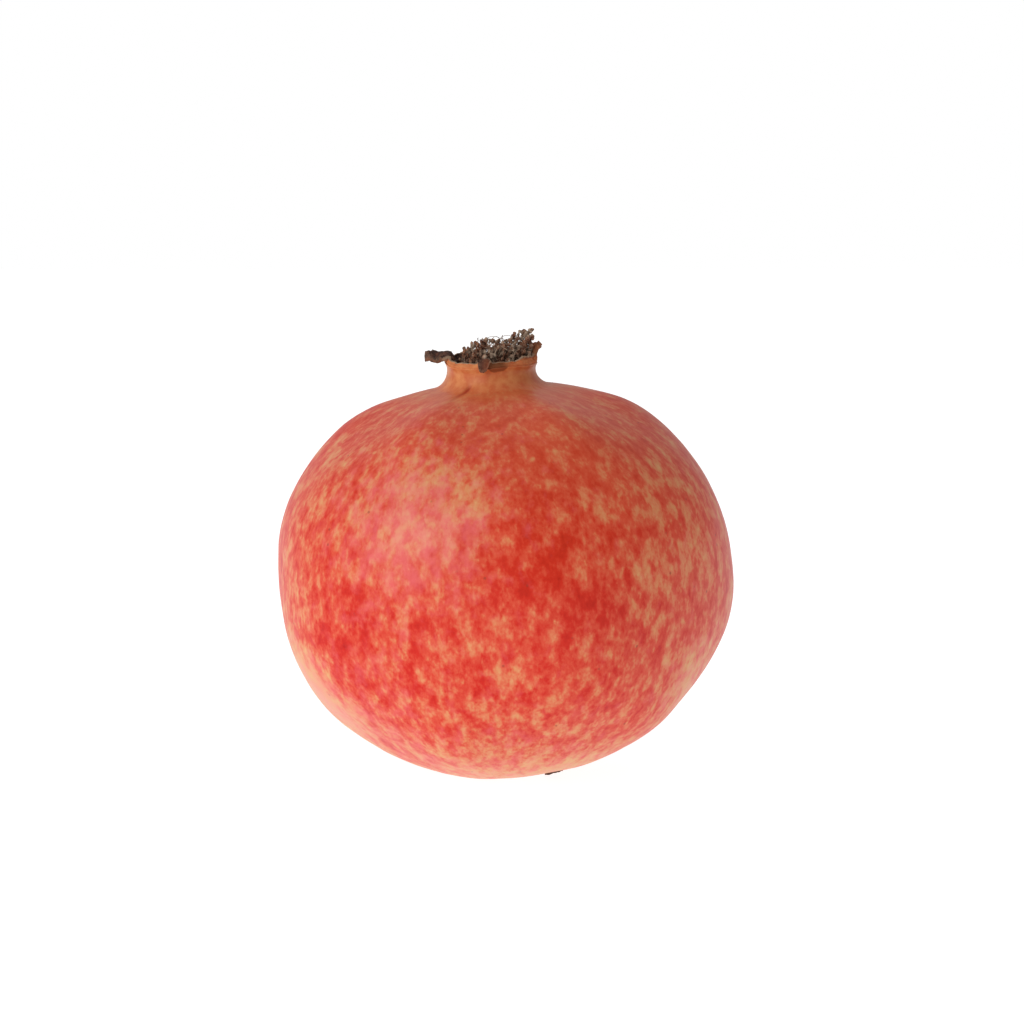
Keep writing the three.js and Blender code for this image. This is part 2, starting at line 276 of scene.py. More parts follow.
def new_material(name):
    material = bpy.data.materials.new(name)
    material.use_nodes = True
    material.node_tree.nodes.clear()
    return material


# Settings that several nodes share
COLOURS = {"data_type": "RGBA"}
SMOOTH = {"interpolation_type": "SMOOTHSTEP"}
PRODUCT = {"operation": "MULTIPLY"}
PRODUCT_SUM = {"operation": "MULTIPLY_ADD"}


def add(tree, kind, settings=None, **inputs):
    """Adds a node. An input is named with _ for a space, or numbered as n0, and given a value, or
    a socket to link, or a node whose first output in use is linked."""
    node = tree.nodes.new("ShaderNode" + kind)
    for key, value in (settings or {}).items():
        setattr(node, key, value)
    for key, value in inputs.items():
        if key[0] == "n" and key[1:].isdigit():
            socket = node.inputs[int(key[1:])]
        else:
            name = key.replace("_", " ")
            socket = next(each for each in node.inputs if each.enabled and each.name == name)
        if isinstance(value, bpy.types.Node):
            value = next(each for each in value.outputs if each.enabled)
        if isinstance(value, bpy.types.NodeSocket):
            tree.links.new(value, socket)
        else:
            socket.default_value = value
    return node


def neck_skin(tree):
    """The orange mottle that the neck shares with the wall of the calyx, with painted shade darkening
    it to brown on the right.
    """
    place = add(tree, "TexCoord").outputs["Object"]
    mottle = add(tree, "TexNoise", Vector=place, Scale=1 / (2.4 * MM), Detail=4, Roughness=0.55)
    mottle = add(tree, "MapRange", SMOOTH, Value=mottle, From_Min=0.3, From_Max=0.7)
    skin = add(tree, "Mix", COLOURS, Factor=mottle, A=linear("#C4663A"), B=linear("#D68C56"))
    # Painted shade: the neck darkens to brown towards the right, the side turned from the light
    shaded_right = add(
        tree, "MapRange", SMOOTH, Value=add(tree, "SeparateXYZ", Vector=place).outputs["X"],
        From_Min=-NECK_RADIUS * MM, From_Max=NECK_RADIUS * MM, To_Max=0.42,
    )
    return add(tree, "Mix", COLOURS, Factor=shaded_right, A=skin, B=linear("#A0481E"))


# Colours of the ripest and the palest skin, and three between
RIPENESS = [
    (0.0, "#B80400"), (1.0, "#DEA670"), (0.3, "#CF2014"), (0.54, "#DA4C36"), (0.77, "#DE8058"),
]

# Layers of the mottle: size of its lumps, detail, roughness and how much it makes paler
MOTTLE = [(2.8, 5, 0.62, 0.82), (1.0, 2, 0.5, 0.26), (9.0, 2, 0.5, 0.14)]

# Where the skin is paler, or riper where below 0: azimuth, height and reach in degrees, and by how
# much. Most are the skin's own mottle, but some are painted light, among them a painted highlight of
# the softbox at (247, 29) and a painted reflection of the glowing table along the lower edges and
# underneath at (205, -22), (190, -46), (331, -26) and (262, -64)
PALE_AND_SHEEN_PATCHES = [
    (280, 28, 7, -0.05), (281, 13, 6, -0.12), (290, 2, 8, -0.09), (267, 14, 7, -0.05),
    (225, 10, 9, -0.05), (229, -10, 12, -0.08), (209, 2, 10, 0.06), (205, 32, 14, 0.05),
    (265, 28, 5, 0.11), (247, 29, 13, 0.15), (324, 20, 20, 0.06), (331, -26, 13, 0.17),
    (205, -22, 13, 0.44), (190, -46, 13, 0.20), (262, -64, 26, 0.19), (300, -58, 15, 0.10),
]

# Painted shade, with some of the skin's own orange: the upper right, turned from the light, is tinted
# orange-brown: azimuth, height and reach in degrees
SHADE_TAN_SIDE = (305, 68, 50)

# Heights between which the skin turns to the neck's orange
ORANGE_FROM = SHOULDER_HEIGHT - 3.6
ORANGE_FULL = SHOULDER_HEIGHT + 2.0

# The neck's rim is browned beside the folded sepal: azimuth and reach in degrees
BESIDE_FOLDED = 279
BESIDE_REACH = 14

# Where the skin is pink: azimuth, height and reach in degrees, and how much. This pink is painted
# light: a painted highlight of the softbox at (246, 24), and a painted reflection of the glowing table
# along the lower edges and underneath at the others
PINK_SHEEN_PATCHES = [
    (246, 24, 22, 1.1), (205, -24, 15, 1.0), (228, -25, 20, 0.4), (262, -62, 34, 0.8),
    (332, -24, 14, 0.8),
]


def nearness(way, azimuth, height, reach):
    """1 in the middle of a patch, falling softly to 0."""
    azimuth, height = math.radians(azimuth), math.radians(height)
    middle = Vector((
        math.cos(azimuth) * math.cos(height), math.sin(azimuth) * math.cos(height), math.sin(height),
    ))
    return math.exp(-((math.degrees(way.angle(middle)) / reach) ** 2))


def rind_material():
    """Ripe pomegranate rind, a waxed leather. Reds and pinks lie softly over tan in lumps of 1 to
    4 mm, a little drawn out along the meridians, and the neck is orange."""
    material = new_material("pomegranate_rind")
    tree = material.node_tree
    share = {
        name: add(tree, "Attribute", {"attribute_name": name}).outputs["Fac"]
        for name in ("pale_and_sheen", "shade_tan", "pink_sheen", "neck", "rim", "pinch", "dried")
    }
    grain = add(tree, "Attribute", {"attribute_name": "grain"}).outputs["Vector"]
    lumps = add(tree, "Mapping", Vector=grain, Scale=(1, 1, 0.62))
    others = add(tree, "Mapping", Vector=grain, Location=(31, 17, 53), Scale=(1, 1, 0.8))
    apart = add(tree, "Mapping", Vector=grain, Location=(71, 5, 23), Scale=(1, 1, 0.7))
    streaks = add(tree, "Mapping", Vector=grain, Scale=(1, 1, 0.16))

    # Paleness from the mottle and the patches, some of which are painted highlight and painted
    # reflection
    paleness = share["pale_and_sheen"]
    for place, (size, detail, roughness, paler) in zip((lumps, others, apart), MOTTLE):
        layer = add(
            tree, "TexNoise", Vector=place, Scale=1 / size, Detail=detail, Roughness=roughness,
        )
        paleness = add(tree, "Math", PRODUCT_SUM, n0=layer, n1=paler, n2=paleness)
    ripeness = add(tree, "MapRange", Value=paleness, From_Min=0.345, From_Max=0.86)
    colour = add(tree, "ValToRGB", Fac=ripeness)
    elements = colour.color_ramp.elements
    for index, (place, shade) in enumerate(RIPENESS):
        element = elements[index] if index < 2 else elements.new(place)
        element.color = linear(shade)

    fleck = add(tree, "TexNoise", Vector=apart, Scale=1 / 1.6, Detail=3, Roughness=0.5)
    fleck = add(tree, "MapRange", SMOOTH, Value=fleck, From_Min=0.53, From_Max=0.72)
    cluster = add(
        tree, "MapRange", SMOOTH, Value=paleness, From_Min=0.53, From_Max=0.73, To_Max=0.5,
    )
    fleck = add(tree, "Math", PRODUCT, n0=fleck, n1=cluster)
    # Painted shade, partly the skin's own orange, tints the upper right orange-brown
    shade_tint = add(tree, "Math", PRODUCT, n0=share["shade_tan"], n1=0.42)
    # Pink: random pink blush over the skin, plus the painted highlight and painted reflection of the
    # pink patches
    pink_blush_and_sheen = add(tree, "TexNoise", Vector=others, Scale=1 / 3, Detail=5, Roughness=0.6)
    pink_blush_and_sheen = add(tree, "Math", PRODUCT_SUM, n0=pink_blush_and_sheen, n1=3.0, n2=share["pink_sheen"])
    pink_blush_and_sheen = add(tree, "MapRange", SMOOTH, Value=pink_blush_and_sheen, From_Min=1.65, From_Max=3.0, To_Max=0.55)
    browned = add(tree, "TexNoise", Vector=streaks, Scale=1 / 6, Detail=4, Roughness=0.55)
    browned = add(tree, "Math", PRODUCT_SUM, n0=browned, n1=0.8, n2=share["rim"])
    browned = add(
        tree, "MapRange", SMOOTH, Value=browned, From_Min=1.10, From_Max=1.34, To_Max=0.85,
    )
    # Painted shade, partly a real redder tint: the skin darkens to a deep red in the pinch at the
    # neck's foot
    pinch_shade = add(tree, "Math", PRODUCT, n0=share["pinch"], n1=0.9)

    pores = add(tree, "TexVoronoi", Vector=grain, Scale=1 / 2.6)
    lot = add(tree, "SeparateColor", Color=pores.outputs["Color"])
    chosen = add(tree, "MapRange", SMOOTH, Value=lot, From_Min=0.82, From_Max=0.9)
    pore = add(
        tree, "MapRange", SMOOTH, Value=pores.outputs["Distance"],
        From_Min=0.05, From_Max=0.16, To_Min=1.0, To_Max=0.0,
    )
    pore = add(tree, "Math", PRODUCT, n0=pore, n1=chosen)
    dark_pore = add(tree, "Math", PRODUCT, n0=pore, n1=0.45)

    for factor, tint in (
        (fleck, linear("#DCA268")), (shade_tint, linear("#CC6A38")), (pink_blush_and_sheen, linear("#E87276")),
        (share["neck"], neck_skin(tree)), (browned, linear("#7C3F22")),
        (pinch_shade, linear("#A0301C")), (share["dried"], linear("#4E2E20")),
        (dark_pore, linear("#6B3626")),
    ):
        colour = add(tree, "Mix", COLOURS, Factor=factor, A=colour, B=tint)

    peel = add(tree, "TexNoise", Vector=grain, Scale=1 / 0.9, Detail=3, Roughness=0.55)
    relief = add(tree, "Math", {"operation": "SUBTRACT"}, n0=peel, n1=pore)
    bump = add(tree, "Bump", Height=relief, Strength=0.22, Distance=0.08 * MM)
    shader = add(
        tree, "BsdfPrincipled", Base_Color=colour, Roughness=0.4, Normal=bump,
        IOR=1.45, Specular_IOR_Level=0.23,
    )
    add(tree, "OutputMaterial", Surface=shader)
    return material


to_fruit = upright.inverted()
layers = rind_mesh.verts.layers.float
neck, rim, pinch, pale_and_sheen, shade_tan, pink_sheen, dried = (
    layers.new(name) for name in ("neck", "rim", "pinch", "pale_and_sheen", "shade_tan", "pink_sheen", "dried")
)
for vertex in rind_mesh.verts:
    local = to_fruit @ vertex.co
    way = local.normalized()
    radius = math.hypot(local.x, local.y)
    turn = math.atan2(local.y, local.x)
    beside = math.exp(-((math.degrees(turn) % 360 - BESIDE_FOLDED) / BESIDE_REACH) ** 4)
    browned = ease(local.z, NECK_TOP - 0.6 - 2.2 * beside, NECK_TOP + 0.5 - 0.6 * beside)
    vertex[neck] = ease(local.z, ORANGE_FROM, ORANGE_FULL)
    vertex[rim] = browned * mix(0.6, 1.25, beside)
    vertex[pinch] = pinch_share(turn, local.z, radius)
    # Paler patches, partly the skin's own mottle and partly painted highlight and painted reflection
    vertex[pale_and_sheen] = sum(by * nearness(way, *place) for *place, by in PALE_AND_SHEEN_PATCHES)
    vertex[shade_tan] = nearness(way, *SHADE_TAN_SIDE)
    # Pink patches of painted highlight and painted reflection
    vertex[pink_sheen] = sum(by * nearness(way, *place) for *place, by in PINK_SHEEN_PATCHES)
    if local.z > CUP_FLOOR - 2:
        vertex[dried] = 1 - ease(radius, CUP_RADIUS + 0.3, CUP_RADIUS + 1.2)

finish_piece(rind_mesh, "rind_skin", rind_material(), "rind")


# Calyx crown
# The dried end of the flower's calyx, grown from the neck's rim. Most of its seven sepals have
# broken off short. One lies out flat and shrivelled on the left, one is folded down over the
# neck in front, and one still stands up and out on the right.

GAP = 0.3
CROWN_RADIUS = 8.8
CROWN_WALL = 1.5
CROWN_SUNK = 0.7
LIP = 0.6
CRINKLE = 0.28
CROWN_STEPS = 360
CROWN_ROWS = 24
BEND_SLICES = 24

# Azimuth and half width in degrees, length, bend in degrees, length of the bend, thickness at the
# end, and how shrivelled it is
SEPALS = [
    (10, 24, 3.6, 48, 3.2, 1.0, 0.7),
    (58, 27, 1.3, 14, 3.0, 0.6, 0.3),
    (125, 32, 0.35, 20, 2.0, 0.5, 0.2),
    (180, 22, 4.6, 97, 1.5, 1.1, 1.5),
    (225, 25, 0.05, 30, 1.6, 0.45, 0.1),
    (262, 9.5, 3.8, 172, 2.5, 0.6, 0.4),
    (328, 24, 1.1, 28, 2.2, 0.5, 0.3),
]
EDGE_LEAST = 0.45
BEND_LENGTH_LEAST = 1.4

# The crown is dried to a dark brown beside the folded sepal, and the upright sepal is lit a warm
# brown: azimuth and reach in degrees
SCORCHED_AT = 277
SCORCHED_REACH = 16
SUNLIT_AT = 12
SUNLIT_REACH = (30, 12)


def sepal_share(sepal, azimuth):
    turn = math.remainder(math.degrees(azimuth) - sepal[0], 360)
    return max(0.0, 1 - abs(turn / sepal[1]) ** 1.5) ** 0.85


def wall_at(azimuth):
    """Length, bend, bend length, thickness at the edge and crumple of the crown's wall."""
    shares = [sepal_share(sepal, azimuth) for sepal in SEPALS]
    whole = sum(shares) + 0.05
    length, bend, bend_length, edge, crumple = (
        sum(share * sepal[i] for share, sepal in zip(shares, SEPALS)) for i in range(2, 7)
    )
    round_place = Vector((math.cos(azimuth), math.sin(azimuth), 0)) * CROWN_RADIUS
    torn = 1 + 0.22 * noise.noise(round_place / 0.9) + 0.16 * noise.noise(round_place / 0.3)
    return (
        (LIP + length) * torn, math.radians(bend / whole),
        max(BEND_LENGTH_LEAST, bend_length / whole), max(EDGE_LEAST, edge / whole), crumple / whole,
    )


def crown_point(azimuth, row):
    """Rows go up the outer face from the rim to the edge, and back down the inner face."""
    length, bend, bend_length, edge, crumple = wall_at(azimuth)
    outer = row <= CROWN_ROWS
    along = (row if outer else 2 * CROWN_ROWS + 1 - row) / CROWN_ROWS
    step = length * along / BEND_SLICES
    radius, height = CROWN_RADIUS, NECK_TOP + GAP

    def heading(way):
        return math.pi / 2 - bend * ease(way, LIP * 0.4, LIP * 0.4 + bend_length)

    for part in range(BEND_SLICES):
        facing = heading(step * (part + 0.5))
        radius += step * math.cos(facing)
        height += step * math.sin(facing)
    facing = heading(length * along)
    thickness = mix(CROWN_WALL, edge, min(1, along * 1.5))
    place = Vector((radius * math.cos(azimuth), radius * math.sin(azimuth), height))
    thickness *= 1 + 0.5 * crumple * noise.noise(place / 1.1 + Vector((7, 3, 5)))
    crinkle = 0.5 * CRINKLE * math.sin(17 * azimuth + 5 * along)
    crinkle += (0.1 + 0.7 * crumple) * noise.noise(place / 1.5) + 0.15 * noise.noise(place / 0.6)
    offset = thickness / 2 * (1 if outer else -1) + along * crinkle
    sunk = CROWN_SUNK * (1 - ease(along, 0, 0.12))
    tucked_in = 1.1 * max(0.0, sunk - GAP) if outer else 0
    crease = NECK_CREASE * math.cos(SEPALS_ROUND * (azimuth - FIRST_SEPAL))
    reach = radius + offset * math.sin(facing) + crease - tucked_in
    return askew(Vector((
        reach * math.cos(azimuth), reach * math.sin(azimuth),
        height - offset * math.cos(facing) - sunk,
    )))


def ring_of_rows(rows, steps, place):
    """A closed band: a loop of rows spun round the axis, each vertex put where place() says."""
    mesh = bmesh.new()
    row_of = mesh.verts.layers.float.new("row")
    for row in range(rows):
        turn = 2 * math.pi * row / rows
        vertex = mesh.verts.new((20 - 5 * math.cos(turn), 0, 5 * math.sin(turn)))
        vertex[row_of] = row
    mesh.verts.ensure_lookup_table()
    for row in range(rows):
        mesh.edges.new((mesh.verts[row], mesh.verts[(row + 1) % rows]))
    bmesh.ops.spin(
        mesh, geom=mesh.verts[:] + mesh.edges[:], cent=(0, 0, 0), axis=(0, 0, 1),
        angle=2 * math.pi, steps=steps, use_merge=True,
    )
    bmesh.ops.remove_doubles(mesh, verts=mesh.verts[:], dist=0.001)
    for vertex in mesh.verts:
        azimuth = math.atan2(vertex.co.y, vertex.co.x)
        vertex.co = place(azimuth, vertex[row_of])
    bmesh.ops.recalc_face_normals(mesh, faces=mesh.faces[:])
    return mesh


def crown_material():
    """Dried calyx, a brittle fibrous skin. Its low wall is orange like the neck outside, and the
    sepals are brown and dull, darker inside, and worn to a pale tan along their torn edges."""
    material = new_material("dried_calyx")
    tree = material.node_tree
    share = {
        name: add(tree, "Attribute", {"attribute_name": name}).outputs["Fac"]
        for name in ("age", "height", "outside", "scorched", "sunlit")
    }
    place = add(tree, "TexCoord").outputs["Object"]
    fibres = add(tree, "Mapping", Vector=place, Scale=(1, 1, 0.3))
    lumps = add(tree, "TexNoise", Vector=place, Scale=1 / (1.3 * MM), Detail=5, Roughness=0.65)
    fine = add(tree, "TexNoise", Vector=fibres, Scale=1 / (0.35 * MM), Detail=4, Roughness=0.65)

    # The outside is the neck's orange, dried brown where it is high
    patch = add(tree, "MapRange", SMOOTH, Value=lumps, From_Min=0.38, From_Max=0.62)
    fibre = add(tree, "MapRange", SMOOTH, Value=fine, From_Min=0.5, From_Max=0.75)
    brown = add(tree, "Mix", COLOURS, Factor=patch, A=linear("#43251B"), B=linear("#875233"))
    brown = add(tree, "Mix", COLOURS, Factor=fibre, A=brown, B=linear("#A27A55"))
    dried = add(tree, "Math", PRODUCT_SUM, n0=lumps, n1=1.2, n2=share["height"])
    dried = add(tree, "MapRange", SMOOTH, Value=dried, From_Min=1.35, From_Max=1.95)
    sunlit = add(tree, "Math", PRODUCT, n0=share["sunlit"], n1=0.55)
    # The neck's mottle, with its painted shade on the right
    skin = neck_skin(tree)
    for factor, tint in (
        (dried, brown), (share["scorched"], linear("#74401F")), (sunlit, linear("#B4622E")),
    ):
        skin = add(tree, "Mix", COLOURS, Factor=factor, A=skin, B=tint)

    # The inside is darker
    patch = add(tree, "MapRange", SMOOTH, Value=lumps, From_Min=0.38, From_Max=0.66)
    fibre = add(tree, "MapRange", SMOOTH, Value=fine, From_Min=0.52, From_Max=0.72)
    sunlit = add(tree, "Math", PRODUCT, n0=share["sunlit"], n1=0.75)
    scorched = add(tree, "Math", PRODUCT, n0=share["scorched"], n1=0.8)
    inner = linear("#2E1712")
    for factor, tint in (
        (patch, "#6B4130"), (fibre, "#86644A"), (sunlit, "#A8592A"), (scorched, "#85482C"),
    ):
        inner = add(tree, "Mix", COLOURS, Factor=factor, A=inner, B=linear(tint))
    colour = add(tree, "Mix", COLOURS, Factor=share["outside"], A=inner, B=skin)

    # The torn edge is worn pale where the wall is low
    edge = add(tree, "Math", PRODUCT_SUM, n0=lumps, n1=0.25, n2=share["age"])
    edge = add(tree, "MapRange", SMOOTH, Value=edge, From_Min=0.93, From_Max=1.08)
    low = add(tree, "Math", PRODUCT_SUM, n0=share["sunlit"], n1=2.0, n2=share["height"])
    low = add(
        tree, "MapRange", SMOOTH, Value=low, From_Min=1.4, From_Max=3.0, To_Min=0.85, To_Max=0.15,
    )
    edge = add(tree, "Math", PRODUCT, n0=edge, n1=low)
    colour = add(tree, "Mix", COLOURS, Factor=edge, A=colour, B=linear("#A2856C"))

    relief = add(tree, "Math", PRODUCT_SUM, n0=fine, n1=0.6, n2=lumps)
    bump = add(tree, "Bump", Height=relief, Strength=0.8, Distance=0.3 * MM)
    shader = add(
        tree, "BsdfPrincipled", Base_Color=colour, Roughness=0.8, Normal=bump,
        Specular_IOR_Level=0.3,
    )
    add(tree, "OutputMaterial", Surface=shader)
    return material


crown_mesh = ring_of_rows(2 * CROWN_ROWS + 2, CROWN_STEPS, crown_point)
row_of = crown_mesh.verts.layers.float["row"]
layers = crown_mesh.verts.layers.float
age, height, outside, scorched, sunlit = (
    layers.new(name) for name in ("age", "height", "outside", "scorched", "sunlit")
)
for vertex in crown_mesh.verts:
    row = vertex[row_of]
    turn = math.degrees(math.atan2(vertex.co.y, vertex.co.x)) % 360
    vertex[age] = (row if row <= CROWN_ROWS else 2 * CROWN_ROWS + 1 - row) / CROWN_ROWS
    vertex[height] = vertex[age] * wall_at(math.radians(turn))[0]
    vertex[outside] = 1.0 if row <= CROWN_ROWS else 0.0
    vertex[scorched] = math.exp(-((turn - SCORCHED_AT) / SCORCHED_REACH) ** 4)
    vertex[sunlit] = ease(abs(math.remainder(turn - SUNLIT_AT, 360)), *SUNLIT_REACH)
    vertex.co = upright @ vertex.co
finish_piece(crown_mesh, "dried_crown", crown_material(), "calyx_crown")


# Stamens
# The dead stamens of the flower, still rooted in the cup in a tangled tuft. Each is a hair of a
# filament with a shrivelled anther at its tip, and the tuft is tallest on the right.

STAMENS = 210
CLUMP_STAMENS = 46
PAD_TOP = 41.7
TUFT_RADIUS = 6.5
TUFT_SPREAD = 7.4
TUFT_RISE = 2.1
TANGLE = 2.6

# Where the tuft stands higher: x, y and reach of each clump, its rise, and its lean to the right
CLUMPS = [(-0.8, 0, 2.4, 1.2, 0), (5.0, -0.4, 2.3, 3.4, 1.7)]

FILAMENT_RADIUS = 0.12
ANTHER_RADIUS = 0.34
ANTHER_LENGTH = 1.1
STAMEN_SEED = 20611
THREAD_SIDES = 5
THREAD_PARTS = 9
LOOSE_HAIRS = 46
HAIR_RADIUS = 0.07


def seeded_draw(seed):
    """The same draws from 0 to 1 on every run."""
    state = seed
    while True:
        state = state * 16807 % 2147483647
        yield state / 2147483647


def straight_thread():
    """One thread a unit long and a unit thick, to be bent."""
    mesh = bmesh.new()
    bmesh.ops.create_cone(
        mesh, cap_ends=True, segments=THREAD_SIDES, radius1=1, radius2=0.7, depth=1,
        matrix=Matrix.Translation((0, 0, 0.5)),
    )
    upward = [edge for edge in mesh.edges if abs(edge.verts[0].co.z - edge.verts[1].co.z) > 0.5]
    bmesh.ops.subdivide_edges(mesh, edges=upward, cuts=THREAD_PARTS - 1)
    data = bpy.data.meshes.new("straight_thread")
    mesh.to_mesh(data)
    mesh.free()
    return data


def add_thread(mesh, thread, points, radius):
    """Adds a thread bent along a curve of four points."""
    first = len(mesh.verts)
    mesh.from_mesh(thread)
    mesh.verts.ensure_lookup_table()
    a, b, c, d = points
    for vertex in mesh.verts[first:]:
        t = vertex.co.z
        s = 1 - t
        centre = a * s ** 3 + b * (3 * s * s * t) + c * (3 * s * t * t) + d * t ** 3
        facing = ((b - a) * (s * s) + (c - b) * (2 * s * t) + (d - c) * (t * t)).normalized()
        level = Vector((0, 1, 0)) if abs(facing.x) > 0.9 else Vector((1, 0, 0))
        side = facing.cross(level).normalized()
        vertex.co = centre + (side * vertex.co.x + facing.cross(side) * vertex.co.y) * radius


def add_anther(mesh, place, facing, size, draw):
    """Adds a shrivelled anther, a small bean of a few faces."""
    turn = facing.to_track_quat("Z", "Y").to_matrix().to_4x4()
    tilt = Matrix.Rotation(1.6 * (next(draw) - 0.5), 4, "X")
    bean = Vector((ANTHER_RADIUS, ANTHER_RADIUS * 1.3, ANTHER_LENGTH / 2)) * size
    grown = bmesh.ops.create_icosphere(
        mesh, subdivisions=2, radius=1,
        matrix=Matrix.Translation(place) @ turn @ tilt @ Matrix.Diagonal((*bean, 1)),
    )
    for vertex in grown["verts"]:
        vertex.co += (vertex.co - place) * 0.7 * noise.noise(vertex.co / 0.45)


def polar(radius, azimuth, height):
    return Vector((radius * math.cos(azimuth), radius * math.sin(azimuth), height))


def pulled_in(point, reach):
    distance = math.hypot(point.x, point.y)
    share = min(1.0, reach / distance) if distance else 1.0
    return Vector((point.x * share, point.y * share, point.z))


def tuft_mesh():
    mesh = bmesh.new()
    outline = [(0, PAD_TOP - 1.6), (CUP_RADIUS - 0.1, PAD_TOP - 1.6), (CUP_RADIUS - 0.1, PAD_TOP)]
    outline += [(CUP_RADIUS * share / 8, PAD_TOP - 0.4 * (1 - share / 8)) for share in range(7, -1, -1)]
    pad = spun_mesh(outline, 64)
    for vertex in pad.verts:
        vertex.co.z += 0.8 * noise.noise(vertex.co / 1.1)
    pad_data = bpy.data.meshes.new("pad")
    pad.to_mesh(pad_data)
    pad.free()
    mesh.from_mesh(pad_data)
    thread = straight_thread()
    draw = seeded_draw(STAMEN_SEED)

    def stray(width):
        return width * (next(draw) - 0.5)

    for k in range(STAMENS + CLUMP_STAMENS):
        turn = k * math.pi * (3 - math.sqrt(5))
        if k < STAMENS:
            out = TUFT_RADIUS * math.sqrt((k + 0.5) / STAMENS)
            root = polar(out, turn, PAD_TOP - 1)
        else:
            root = polar(1.5 * math.sqrt((k - STAMENS + 0.5) / CLUMP_STAMENS), turn, PAD_TOP - 1)
            root += Vector((*CLUMPS[1][:2], 0))
            turn, out = math.atan2(root.y, root.x), math.hypot(root.x, root.y)
        rise = TUFT_RISE - (out / TUFT_RADIUS) ** 3 + stray(1.5 * TANGLE)
        lean = 0
        for x, y, reach, clump_rise, clump_lean in CLUMPS:
            nearby = math.exp(-(math.hypot(root.x - x, root.y - y) / reach) ** 2)
            rise += clump_rise * nearby
            lean += clump_lean * nearby
        tip = polar(out, turn, NECK_TOP + max(-1.5, rise))
        tip += Vector((0.6 + stray(TANGLE), stray(TANGLE), 0))
        low = pulled_in(root.lerp(tip, 0.4) + Vector((stray(TANGLE), stray(TANGLE), 0)), TUFT_RADIUS)
        aside = Vector((stray(1.6 * TANGLE), stray(1.6 * TANGLE), stray(1)))
        high = pulled_in(root.lerp(tip, 0.8) + aside, TUFT_SPREAD) + Vector((0.6 * lean, 0, 0))
        tip = pulled_in(tip, TUFT_SPREAD) + Vector((lean, 0, 0))
        add_thread(mesh, thread, (root, low, high, tip), FILAMENT_RADIUS * (0.8 + stray(0.4)))
        add_anther(mesh, tip, (tip - high).normalized(), 0.9 + stray(0.5), draw)
    for k in range(LOOSE_HAIRS):
        turn = k * math.pi * (3 - math.sqrt(5)) + 1
        out = TUFT_RADIUS * math.sqrt((k + 0.5) / LOOSE_HAIRS)
        root = polar(out, turn, NECK_TOP + 1)
        root.x = max(root.x, -3.0)
        over = root + Vector((2 + stray(5), stray(5), 4.5 + stray(3)))
        end = root + Vector((3 + stray(6), stray(6), 2.5 + stray(3)))
        path = (root, root.lerp(over, 0.6), over, pulled_in(end, TUFT_SPREAD + 1))
        add_thread(mesh, thread, path, HAIR_RADIUS)
    for vertex in mesh.verts:
        vertex.co = upright @ askew(vertex.co)
    return mesh


def stamen_material():
    """Dead stamens, dry and papery threads. Dull grey-brown, with darker and more tan lumps."""
    material = new_material("dry_stamens")
    tree = material.node_tree
    place = add(tree, "TexCoord").outputs["Object"]
    lumps = add(tree, "TexNoise", Vector=place, Scale=1 / (0.9 * MM), Detail=4, Roughness=0.6)
    clumps = add(tree, "TexNoise", Vector=place, Scale=1 / (2.6 * MM), Detail=2, Roughness=0.5)
    fine = add(tree, "TexNoise", Vector=place, Scale=1 / (0.2 * MM), Detail=3, Roughness=0.6)
    lump = add(tree, "MapRange", SMOOTH, Value=lumps, From_Min=0.40, From_Max=0.60)
    clump = add(tree, "MapRange", SMOOTH, Value=clumps, From_Min=0.42, From_Max=0.58)
    speck = add(tree, "MapRange", SMOOTH, Value=fine, From_Min=0.5, From_Max=0.75, To_Max=0.7)
    warm = add(tree, "Mix", COLOURS, Factor=lump, A=linear("#5A3324"), B=linear("#96644A"))
    grey = add(tree, "Mix", COLOURS, Factor=lump, A=linear("#6A5446"), B=linear("#B49C86"))
    colour = add(tree, "Mix", COLOURS, Factor=clump, A=grey, B=warm)
    colour = add(tree, "Mix", COLOURS, Factor=speck, A=colour, B=linear("#C4B09A"))
    bump = add(tree, "Bump", Height=fine, Strength=0.8, Distance=0.15 * MM)
    shader = add(
        tree, "BsdfPrincipled", Base_Color=colour, Roughness=0.9, Normal=bump,
        Specular_IOR_Level=0.2,
    )
    add(tree, "OutputMaterial", Surface=shader)
    return material


finish_piece(tuft_mesh(), "stamen_tuft", stamen_material(), "stamens")


# Stalk stub
# The short end of the twig that the fruit hung on, where it was snapped off. It is dark dry wood
# with a ragged broken face, set in a shallow dip in the underside.

STALK_RADIUS = 2.2
STALK_TAPER = 0.86
STALK_PROUD = 0.6
STALK_ROOT = 1.6


def stub_mesh():
    mesh = bmesh.new()
    out = stalk_root.normalized()
    middle = stalk_root.length - DIMPLE_DEPTH + (STALK_PROUD - STALK_ROOT) / 2
    turn = out.to_track_quat("Z", "Y").to_matrix().to_4x4()
    bmesh.ops.create_cone(
        mesh, cap_ends=True, segments=40, radius1=STALK_RADIUS, radius2=STALK_RADIUS * STALK_TAPER,
        depth=STALK_ROOT + STALK_PROUD,
    )
    face = max(mesh.faces, key=lambda each: each.calc_center_median().z)
    for thickness in (0.25, 0.45, 0.5):
        bmesh.ops.inset_region(mesh, faces=[face], thickness=thickness)
    upward = [edge for edge in mesh.edges if abs(edge.verts[0].co.z - edge.verts[1].co.z) > 0.5]
    bmesh.ops.subdivide_edges(mesh, edges=upward, cuts=8)
    top = (STALK_ROOT + STALK_PROUD) / 2
    for vertex in mesh.verts:
        near_top = ease(vertex.co.z, 0, top)
        vertex.co.z += near_top * (0.3 * noise.noise(vertex.co / 0.5) - 0.1)
        vertex.co.xy *= 1 + 0.1 * noise.noise(vertex.co / 0.7)
    bmesh.ops.transform(
        mesh, matrix=upright @ Matrix.Translation(out * middle) @ turn, verts=mesh.verts[:],
    )
    return mesh


